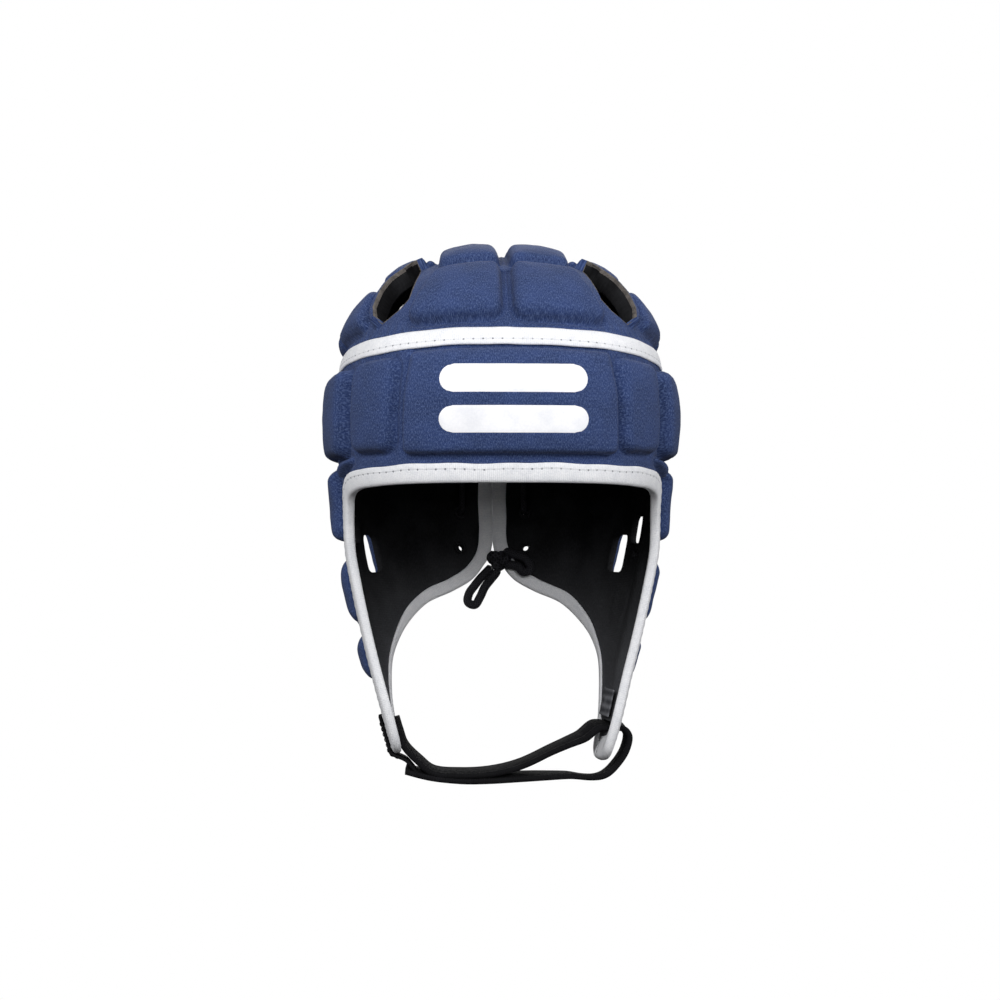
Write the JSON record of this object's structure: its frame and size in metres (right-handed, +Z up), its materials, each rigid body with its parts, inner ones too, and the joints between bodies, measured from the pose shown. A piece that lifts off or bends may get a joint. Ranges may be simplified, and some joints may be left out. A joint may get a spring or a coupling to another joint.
{
  "type": "rugby scrum cap",
  "caption": "Soft padded rugby scrum cap with ear flaps, vent openings, a laced back slit and a hook-and-loop chin strap.",
  "frame": {"origin": "inside of the crown, where the cap rests on the top of the head", "axes": "+Z up, -Y out of the face opening, +X towards the wearer's left"},
  "size_m": [0.184, 0.215, 0.2752],
  "materials": {
    "padded_cloth": "heathered knit over foam pads",
    "lining": "matt knit",
    "edge_tape": "ribbed elastic tape",
    "lace": "round braided cord",
    "eyelet_thread": "satin-stitched ring",
    "strap_web": "brushed loop webbing",
    "hook_tape": "hook tape",
    "patch_web": "ribbed webbing"
  },
  "bodies": {
    "root": {"crown_panel": "padded_cloth", "wall_panel": "padded_cloth", "crown_lining": "lining", "wall_lining": "lining", "crown_tape": "edge_tape", "face_binding": "edge_tape", "nape_binding": "edge_tape", "eyelet_1": "eyelet_thread", "eyelet_2": "eyelet_thread", "eyelet_3": "eyelet_thread", "eyelet_4": "eyelet_thread", "eyelet_5": "eyelet_thread", "eyelet_6": "eyelet_thread", "back_lace": "lace", "lace_loop_outer": "lace", "lace_loop_inner": "lace", "lace_knot": "lace", "chin_strap": "strap_web", "strap_tab": "strap_web", "hook_strip": "hook_tape", "slot_patch": "patch_web"}
  },
  "joints": []
}
